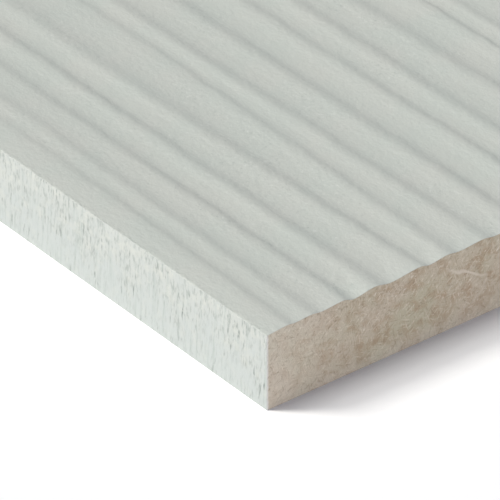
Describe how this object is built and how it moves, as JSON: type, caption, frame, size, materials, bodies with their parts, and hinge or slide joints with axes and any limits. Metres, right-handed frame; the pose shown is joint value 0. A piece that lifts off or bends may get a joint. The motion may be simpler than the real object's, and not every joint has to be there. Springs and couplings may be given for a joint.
{
  "type": "fibre cement cladding plank",
  "caption": "Long thin fibre cement weatherboard with an embossed wood-grain face, a painted finish, square edges and sawn ends.",
  "frame": {"origin": "middle of the flat back face, on the surface that the plank lies on", "axes": "+X along the plank's length, +Y across its width, +Z out of the embossed face"},
  "size_m": [3.6, 0.18, 0.008],
  "materials": {
    "fibre_cement": "painted, satin"
  },
  "bodies": {
    "root": {"plank": "fibre_cement"}
  },
  "joints": []
}
